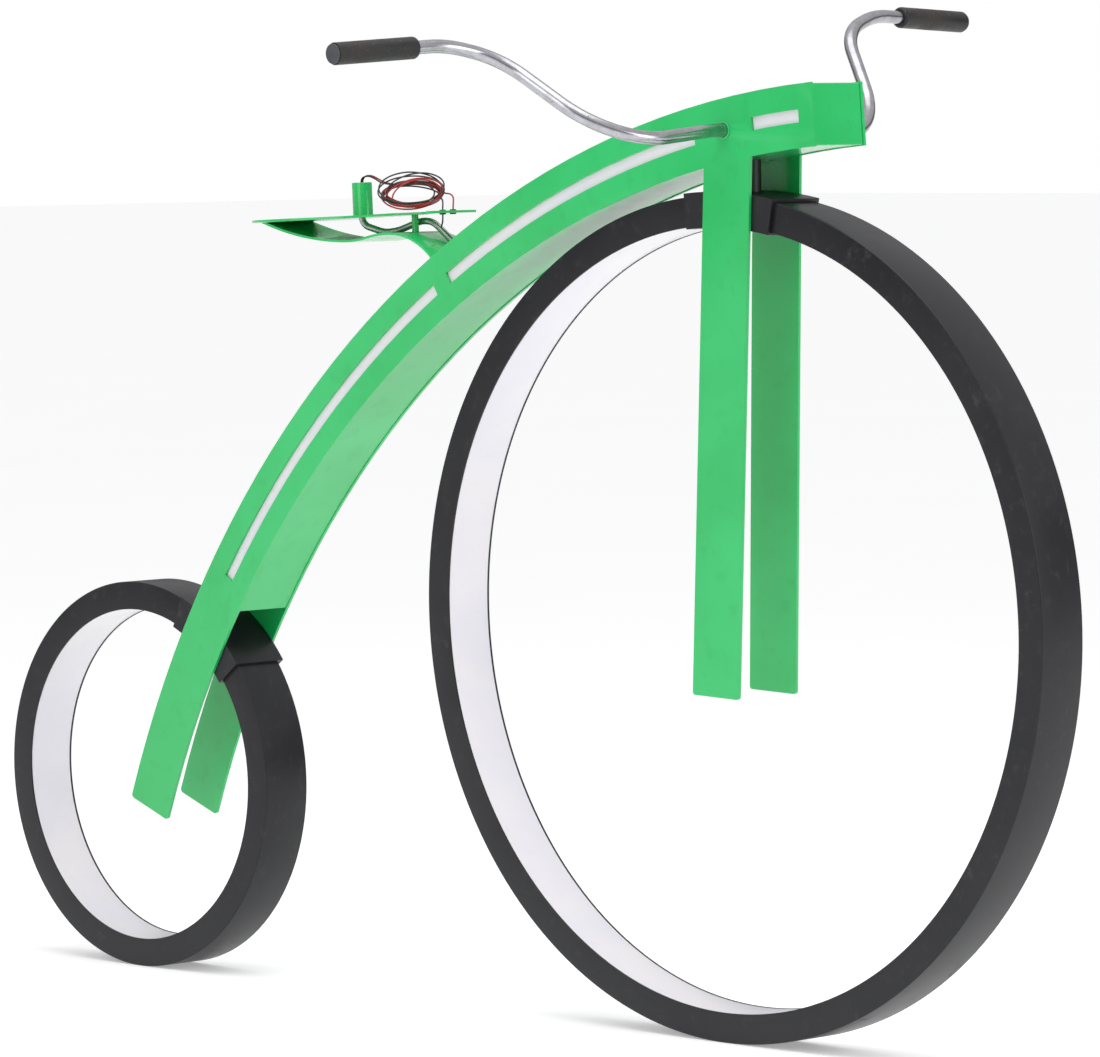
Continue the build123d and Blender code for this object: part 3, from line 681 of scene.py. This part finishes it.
def rounded(section, corner, way_in, way_out, radius, steps=5):
    """Points of a quarter round that takes a corner's place."""
    found = []
    centre = Vector(corner) + Vector(way_in) * radius + Vector(way_out) * radius
    for step in range(steps + 1):
        turn = math.pi / 2 * step / steps
        offset = Vector(way_in) * -math.cos(turn) * radius + Vector(way_out) * -math.sin(turn) * radius
        found.append(tuple(centre + offset))
    return section + found


print("ring steps", RING_STEPS)

# %% The channel's section and the strip's section
# The channel: half its width, its depth, its wall, and the round on the tread's edges.
HALF, DEPTH, WALL, EDGE_ROUND = 34.9, 35.8, 2.6, 1.8
# How far the strip lies below the lips, its thickness, the ledge under it, and the lips' softening.
LIP, STRIP, LEDGE = 0.5, 2.5, 2.0
SOFT, CUT = 0.35, 0.13
# The strip's soft corner: up and in to its ends, and up and in to its middle point.
CORNER_UP, CORNER_IN, MIDDLE_UP, MIDDLE_IN = 0.5, 0.6, 0.12, 0.18


def channel_section(outer):
    """The U-shaped section, from one lip over the tread to the other, with softened lips."""
    low, inside = outer - DEPTH, HALF - WALL
    seat = low + LIP + STRIP
    shelf = inside - LEDGE
    points = [(low + SOFT, inside), (low + CUT, inside + CUT), (low, inside + SOFT)]
    points += [(low, HALF - SOFT), (low + CUT, HALF - CUT), (low + SOFT, HALF)]
    points = rounded(points, (outer, HALF), (0, -1), (-1, 0), EDGE_ROUND)
    points = rounded(points, (outer, -HALF), (-1, 0), (0, 1), EDGE_ROUND)
    points += [(low + SOFT, -HALF), (low + CUT, -HALF + CUT), (low, -HALF + SOFT)]
    points += [(low, -inside - SOFT), (low + CUT, -inside - CUT), (low + SOFT, -inside)]
    points += [(seat, -inside), (seat, -shelf), (seat + LEDGE, -shelf), (seat + LEDGE, -inside)]
    points += [(outer - WALL, -inside), (outer - WALL, inside), (seat + LEDGE, inside)]
    points += [(seat + LEDGE, shelf), (seat, shelf), (seat, inside)]
    return points


def strip_section(outer):
    """The opal strip, slightly rounded where it meets the channel's walls."""
    low = outer - DEPTH + LIP
    edge = HALF - WALL
    return [
        (low + CORNER_UP, edge), (low + MIDDLE_UP, edge - MIDDLE_IN), (low, edge - CORNER_IN),
        (low, -edge + CORNER_IN), (low + MIDDLE_UP, -edge + MIDDLE_IN), (low + CORNER_UP, -edge),
        (low + STRIP, -edge), (low + STRIP, edge),
    ]


print("channel section has", len(channel_section(500.0)), "points")

# %% Spin both rings
RINGS = {"front": (401.5056, 500.0), "rear": (-651.5056, 250.0)}
RING_SMOOTH = 30.0
for name, (hub_x, outer) in RINGS.items():
    spun_ring(f"{name}_rim", channel_section(outer), hub_x, outer)
    take(f"{name}_rim", [f"{name}_ring_channel"], "frame", black, RING_SMOOTH)
    spun_ring(f"{name}_opal", strip_section(outer), hub_x, outer)
    take(f"{name}_opal", [f"{name}_ring_diffuser"], "frame", opal, RING_SMOOTH)

# %% [markdown]
# ## Sheet metal with soft edges
# A laser-cut plate has a small round on every edge once it is painted, and it is that round which
# catches the light. Each plate, skin, bracket and tube here is a copy of its CAD node: its loose
# triangles are merged into flat faces, its sharp edges get a narrow bevel, and its shading is evened.
# The handlebar and its collars aren't merged, so that the bars still clear their holes when they turn.

# %% Polish a copy of a node
MERGE_GAP = 0.000002
MERGE_ANGLE = 0.8


def polished(name, width, merge_angle=MERGE_ANGLE):
    """A copy of a CAD node with merged faces and rounded edges, which stands for the node.

    A merge_angle of 0 keeps the CAD's own facets.
    """
    node = nodes[name]
    only(node)
    bpy.ops.object.duplicate()
    piece = bpy.context.active_object
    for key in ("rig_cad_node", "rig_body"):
        if key in piece:
            del piece[key]
    only(piece)
    bpy.ops.object.mode_set(mode="EDIT")
    bpy.ops.mesh.select_all(action="SELECT")
    bpy.ops.mesh.remove_doubles(threshold=MERGE_GAP)
    if merge_angle:
        bpy.ops.mesh.dissolve_limited(angle_limit=math.radians(merge_angle))
    bpy.ops.object.mode_set(mode="OBJECT")
    bevel_edges(piece, width)
    piece = take("painted_" + name, [name], body_of_node[name], finish_for(name))
    even_normals(piece)
    return piece


print("polish ready")

# %% The backbone, head and saddle
SOFT_EDGES = {
    "side_plate_left": 1.2, "side_plate_right": 1.2, "top_skin_front": 0.5, "top_skin_rear": 0.5,
    "belly_skin": 0.5, "head_cap": 1.4, "front_ring_sleeve": 0.6, "rear_ring_sleeve": 0.6,
    "head_riser": 0.4, "saddle_plate": 0.8, "saddle_spring": 0.8, "spring_anchor": 0.5,
    "saddle_stud": 0.5, "seat_tube": 0.4, "bar_collar_left": 0.7, "bar_collar_right": 0.7,
    "slot_diffusers_left": 0.3, "slot_diffusers_right": 0.3, "conduit": 0.15, "conduit_gland": 0.6,
    "seat_tube_bush": 0.4, "saddle_grommets": 0.3, "saddle_stud_screws": 0.2,
    "spring_anchor_screws": 0.2, "handlebar_left": 0.3, "handlebar_right": 0.3,
}
KEEP_FACETS = {"handlebar_left", "handlebar_right", "bar_collar_left", "bar_collar_right"}
for name, width in SOFT_EDGES.items():
    polished(name, width, 0.0 if name in KEEP_FACETS else MERGE_ANGLE)

# %% [markdown]
# ## Grips
# A grip is a rubber sleeve, round where it meets the tube and flat at its outer end, where a plug closes
# it. It could be turned from a cylinder, but its CAD shape is already the right one. So grips and plugs
# are polished copies too, with a narrow bevel on the sleeve and a wider one on the plug.

# %% Grips and their plugs
GRIP_EDGE, PLUG_EDGE = 0.35, 0.9
for name in ("grip_left", "grip_right"):
    polished(name, GRIP_EDGE)
for name in ("grip_plug_left", "grip_plug_right"):
    polished(name, PLUG_EDGE)

# %% [markdown]
# ## Floor and light
# The object stands on a pale floor in soft, even light, as in a light tent. One wide panel hangs above,
# one stands to the left of the view, on the object's right side, and one ahead of the object. The floor
# gives off a little light, so that it stays white far away. The sky that lights the object has a dark
# band at the horizon, for the metal to mirror, and the sky behind it is plain white.

# %% Floor
bpy.ops.object.select_all(action="DESELECT")
FLOOR_SIZE = 120.0
bpy.ops.mesh.primitive_plane_add(size=FLOOR_SIZE, location=(0, 0, 0))
floor = bpy.context.active_object
floor.name = "floor"
FLOOR_GLOW = {"Emission_Color": colour(1.0, 1.0, 1.0), "Emission_Strength": 0.32}
floor_finish = Finish("pale_floor", Roughness=0.9, **FLOOR_GLOW)
unevenness = grain(floor_finish, 1.2, 3.0)
floor_white = blend_colours(floor_finish, unevenness, colour(0.90, 0.90, 0.90), colour(0.93, 0.93, 0.93))
floor_finish.feed(
    Base_Color=floor_white,
    Normal=bump(floor_finish, grain(floor_finish, 300.0), 0.0001, 0.2),
)
paint(floor, floor_finish)
print("floor")

# %% Sky
world = bpy.data.worlds.new("light_tent")
bpy.context.scene.world = world
world.use_nodes = True
sky = Wiring(world.node_tree)
sky.tree.nodes.clear()
# Heights and greys, from 0 straight down, through 0.5 at the horizon, to 1 straight up.
GREYS = [(0.0, 0.30), (0.49, 0.15), (0.57, 0.12), (0.64, 0.52), (0.72, 0.68), (1.0, 0.80)]
BLUER = 1.01
stops = [(height, (grey, grey, grey * BLUER, 1.0)) for height, grey in GREYS]
direction = sky.node("TexCoord", {}, {}, out="Generated")
upward = sky.node("SeparateXYZ", {}, {0: direction}, out="Z")
height = sky.node("MapRange", {}, {"Value": upward, "From Min": -1.0})
tint = sky.node("ValToRGB", {"stops": stops}, {0: height}, out="Color")
lighting = sky.node("Background", {}, {"Color": tint})
backdrop = sky.node("Background", {}, {"Color": colour(1.0, 1.0, 1.0)})
seen = sky.node("LightPath", {}, {}, out="Is Camera Ray")
choice = sky.node("MixShader", {}, {0: seen, 1: lighting, 2: backdrop})
sky.node("OutputWorld", {}, {"Surface": choice}, out=None)
bpy.context.scene.view_settings.view_transform = "Standard"
print("sky of", len(stops), "greys")


# %% Panels
def panel(name, place, target, width, height, power):
    """A soft rectangular lamp that faces a point."""
    lamp = bpy.data.lights.new(name, "AREA")
    lamp.shape = "RECTANGLE"
    lamp.size, lamp.size_y = width, height
    lamp.energy = power
    stand = bpy.data.objects.new(name, lamp)
    bpy.context.scene.collection.objects.link(stand)
    stand.location = place
    stand.rotation_euler = (Vector(target) - Vector(place)).to_track_quat("-Z", "Y").to_euler()
    return stand


MIDDLE = (-0.1, 0.0, 0.6)
panel("panel_above", (0.3, -0.6, 3.4), MIDDLE, 3.0, 3.0, 46.0)
panel("panel_left", (0.6, -4.6, 2.0), MIDDLE, 2.2, 2.6, 35.0)
panel("panel_ahead", (4.4, 1.2, 1.8), MIDDLE, 1.6, 2.4, 42.0)
print("three panels")
